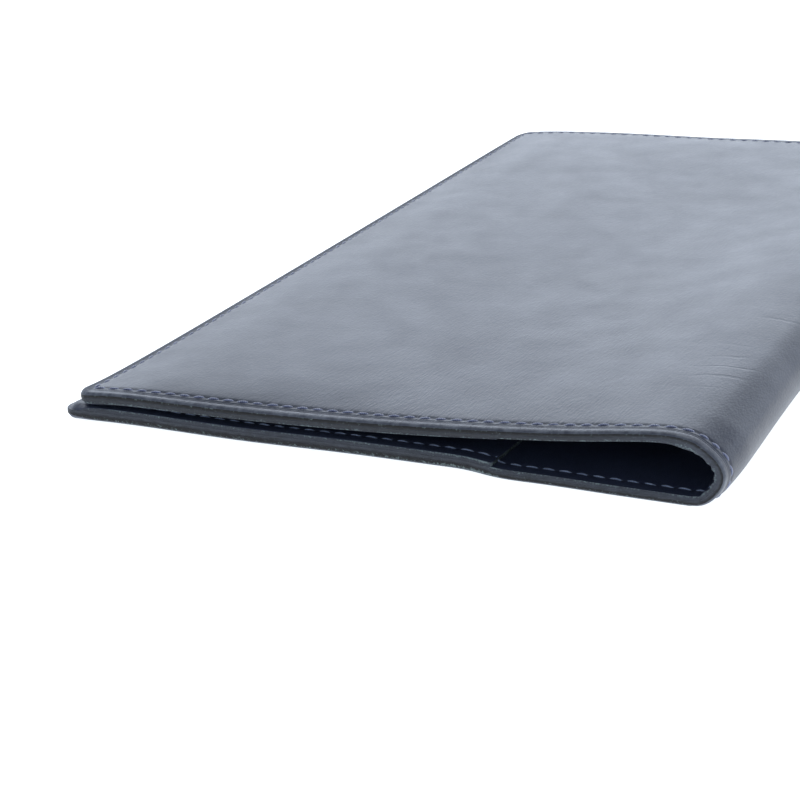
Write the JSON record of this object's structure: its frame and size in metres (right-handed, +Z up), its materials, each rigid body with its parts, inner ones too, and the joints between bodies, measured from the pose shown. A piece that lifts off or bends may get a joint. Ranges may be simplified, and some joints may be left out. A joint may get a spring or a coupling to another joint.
{
  "type": "passport holder",
  "caption": "Folding leather cover for a passport book, with a rolled spine, a sewn pocket flap inside each cover and one seam round its whole edge.",
  "frame": {"origin": "middle of the closed holder's length and width, on the surface that it lies on", "axes": "+X across the covers towards the spine, +Y along the spine, +Z up from the back cover to the front cover"},
  "size_m": [0.094, 0.155, 0.0095],
  "materials": {
    "outer_leather": "smooth navy full-grain leather with a soft broad sheen and cut, burnished edges",
    "lining_leather": "dull dark navy lining leather",
    "flap_leather": "satin dark navy leather with a burnished edge",
    "thread": "waxed blue-violet polyester thread"
  },
  "bodies": {
    "back": {"outer_leather_back": "outer_leather", "lining_back": "lining_leather", "pocket_flap_back": "flap_leather", "needle_thread_back": "thread", "bobbin_thread_back": "thread"},
    "spine": {"outer_leather_spine": "outer_leather", "lining_spine": "lining_leather", "needle_thread_spine": "thread", "bobbin_thread_spine": "thread"},
    "front": {"outer_leather_front": "outer_leather", "lining_front": "lining_leather", "pocket_flap_front": "flap_leather", "needle_thread_front": "thread", "bobbin_thread_front": "thread"}
  },
  "joints": [
    {"name": "back_fold", "type": "hinge", "parent": "back", "child": "spine", "pos_m": [0.04568, 0, 0.00142], "axis": [0, 1, 0], "range_deg": [0, 91.73]},
    {"name": "front_fold", "type": "hinge", "parent": "spine", "child": "front", "pos_m": [0.04547, 0, 0.00828], "axis": [0, 1, 0], "range_deg": [0, 91.73]}
  ],
  "couplings": [
    {"joint": "front_fold", "follows": "back_fold", "ratio": 1}
  ]
}
